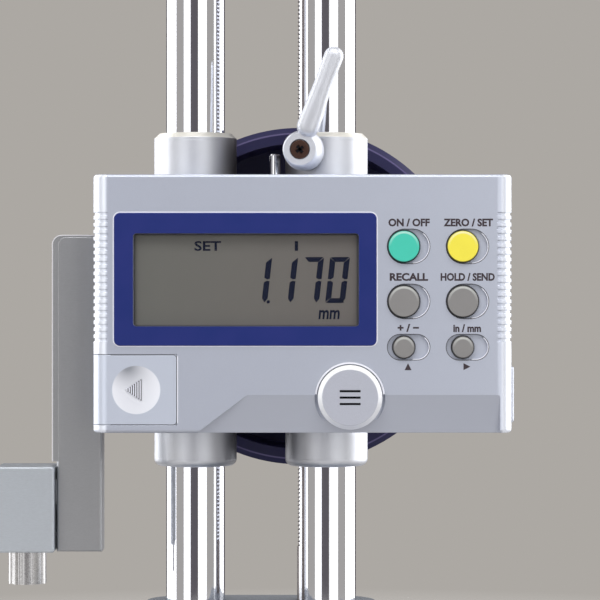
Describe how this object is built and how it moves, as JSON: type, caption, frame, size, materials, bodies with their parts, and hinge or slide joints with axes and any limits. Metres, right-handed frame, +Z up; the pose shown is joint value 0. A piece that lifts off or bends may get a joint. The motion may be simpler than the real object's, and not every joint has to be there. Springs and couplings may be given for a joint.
{
  "type": "height gauge",
  "caption": "Twin-column digital height gauge: cast base, chromed columns with a rack, geared slider with display housing, handwheel, clamp lever and scriber.",
  "frame": {"origin": "on the base's lapped underside, midway between the two columns", "axes": "+Z up along the columns, -Y towards the reader of the display, +X to the reader's right"},
  "size_m": [0.2521, 0.1188, 0.51],
  "materials": {
    "cast_base": "satin paint over cast iron, lapped underside",
    "ground_chrome": "ground and hard chromed",
    "satin_aluminium": "satin silver casting",
    "bronze_bush": "turned bronze",
    "wiper_rubber": "dull rubber",
    "cap_plastic": "fine matt",
    "silver_housing": "silver paint on moulded plastic",
    "inner_plate": "plain sheet",
    "blue_bezel": "deep blue, moulded",
    "clear_window": "clear, flat",
    "lcd_grey": "grey-brown reflective liquid crystal",
    "board_green": "soldermask",
    "pad_rubber": "moulded silicone",
    "green_key": "moulded, satin",
    "yellow_key": "moulded, satin",
    "grey_key": "moulded, satin",
    "cell_steel": "plated",
    "black_plastic": "moulded",
    "turned_steel": "turned",
    "gear_brass": "hobbed",
    "lever_steel": "satin plated",
    "dark_screw": "browned",
    "indigo_wheel": "deep indigo, moulded",
    "arm_steel": "fine ground",
    "clamp_steel": "satin",
    "hard_metal": "lapped carbide",
    "rotor_steel": "etched sheet"
  },
  "bodies": {
    "stand": {"base_casting": "cast_base", "column_bolts": "turned_steel", "left_column": "ground_chrome", "right_column": "ground_chrome", "top_bracket": "satin_aluminium", "bracket_screws": "turned_steel", "column_caps": "cap_plastic"},
    "slider": {"slider_casting": "satin_aluminium", "column_bushes": "bronze_bush", "wiper_rings": "wiper_rubber", "shaft_bushes": "bronze_bush", "front_cover": "silver_housing", "back_plate": "inner_plate", "housing_screws": "turned_steel", "window_bezel": "blue_bezel", "display_window": "clear_window", "lcd_panel": "lcd_grey", "display_board": "board_green", "key_pad": "pad_rubber", "battery": "cell_steel", "battery_holder": "black_plastic", "data_connector": "black_plastic", "gear_cover": "silver_housing", "gear_cover_screws": "turned_steel", "encoder_stator": "board_green", "clamp_shoe": "gear_brass", "probe_terminal": "turned_steel", "scriber_arm": "arm_steel", "arm_screws": "turned_steel", "scriber_clamp": "clamp_steel", "clamp_pad": "turned_steel"},
    "on_off_button": {"on_off_button": "green_key"},
    "zero_button": {"zero_button": "yellow_key"},
    "preset_button": {"preset_button": "grey_key"},
    "hold_button": {"hold_button": "grey_key"},
    "sign_button": {"sign_button": "grey_key"},
    "unit_button": {"unit_button": "grey_key"},
    "battery_cover": {"battery_cover": "silver_housing"},
    "connector_cover": {"connector_cover": "silver_housing"},
    "clamp_lever": {"clamp_lever": "lever_steel", "lever_screw": "dark_screw", "clamp_spindle": "turned_steel"},
    "handwheel": {"handwheel": "indigo_wheel", "wheel_shaft": "turned_steel", "wheel_gear": "gear_brass", "hub_screw": "turned_steel", "knob_pin": "turned_steel"},
    "finger_knob": {"finger_knob": "black_plastic"},
    "pinion": {"pinion_shaft": "turned_steel", "rack_pinion": "turned_steel", "driven_gear": "gear_brass", "fine_gear": "gear_brass"},
    "encoder": {"encoder_pinion": "turned_steel", "encoder_rotor": "rotor_steel"},
    "fine_feed": {"fine_knob": "silver_housing", "fine_shaft": "turned_steel"},
    "scriber": {"scriber": "turned_steel", "carbide_tip": "hard_metal"},
    "scriber_screw": {"scriber_screw": "turned_steel"}
  },
  "joints": [
    {"name": "slider_lift", "type": "slide", "parent": "stand", "child": "slider", "axis": [0, 0, 1], "range_m": [-0.036, 0.264]},
    {"name": "on_off_press", "type": "slide", "parent": "slider", "child": "on_off_button", "axis": [0, 1, 0], "range_m": [0, 0.001], "stiffness_N_per_m": 300, "springref_m": -0.002},
    {"name": "zero_press", "type": "slide", "parent": "slider", "child": "zero_button", "axis": [0, 1, 0], "range_m": [0, 0.001], "stiffness_N_per_m": 300, "springref_m": -0.002},
    {"name": "preset_press", "type": "slide", "parent": "slider", "child": "preset_button", "axis": [0, 1, 0], "range_m": [0, 0.001], "stiffness_N_per_m": 300, "springref_m": -0.002},
    {"name": "hold_press", "type": "slide", "parent": "slider", "child": "hold_button", "axis": [0, 1, 0], "range_m": [0, 0.001], "stiffness_N_per_m": 300, "springref_m": -0.002},
    {"name": "sign_press", "type": "slide", "parent": "slider", "child": "sign_button", "axis": [0, 1, 0], "range_m": [0, 0.001], "stiffness_N_per_m": 300, "springref_m": -0.002},
    {"name": "unit_press", "type": "slide", "parent": "slider", "child": "unit_button", "axis": [0, 1, 0], "range_m": [0, 0.001], "stiffness_N_per_m": 300, "springref_m": -0.002},
    {"name": "battery_cover_slide", "type": "slide", "parent": "slider", "child": "battery_cover", "axis": [-1, 0, 0], "range_m": [0, 0.032]},
    {"name": "connector_cover_pull", "type": "slide", "parent": "slider", "child": "connector_cover", "axis": [1, 0, 0], "range_m": [0, 0.012]},
    {"name": "clamp_lever_turn", "type": "hinge", "parent": "slider", "child": "clamp_lever", "pos_m": [0.0145, -0.0173, 0.2073], "axis": [0, 1, 0], "range_deg": [-75, 0]},
    {"name": "handwheel_turn", "type": "hinge", "parent": "slider", "child": "handwheel", "pos_m": [0.01427, 0.02, 0.1538], "axis": [0, 1, 0], "continuous": true},
    {"name": "finger_knob_spin", "type": "hinge", "parent": "handwheel", "child": "finger_knob", "pos_m": [0.03677, 0.05, 0.19277], "axis": [0, 1, 0], "continuous": true},
    {"name": "pinion_turn", "type": "hinge", "parent": "slider", "child": "pinion", "pos_m": [0.00941, 0, 0.1344], "axis": [0, 1, 0], "continuous": true},
    {"name": "encoder_turn", "type": "hinge", "parent": "slider", "child": "encoder", "pos_m": [0.00941, 0, 0.1719], "axis": [0, 1, 0], "continuous": true},
    {"name": "fine_knob_turn", "type": "hinge", "parent": "slider", "child": "fine_feed", "pos_m": [0.03258, -0.04, 0.1173], "axis": [0, 1, 0], "continuous": true},
    {"name": "scriber_slide", "type": "slide", "parent": "slider", "child": "scriber", "axis": [1, 0, 0], "range_m": [-0.008, 0.006]},
    {"name": "scriber_screw_turn", "type": "hinge", "parent": "slider", "child": "scriber_screw", "pos_m": [-0.0871, -0.003, 0.056], "axis": [0, 0, 1], "range_deg": [-720, 0]}
  ],
  "couplings": [
    {"joint": "pinion_turn", "follows": "slider_lift", "rad_per_m": 209.44},
    {"joint": "handwheel_turn", "follows": "slider_lift", "rad_per_m": -314.16},
    {"joint": "encoder_turn", "follows": "slider_lift", "rad_per_m": 209.44},
    {"joint": "fine_knob_turn", "follows": "slider_lift", "rad_per_m": -867.68}
  ]
}
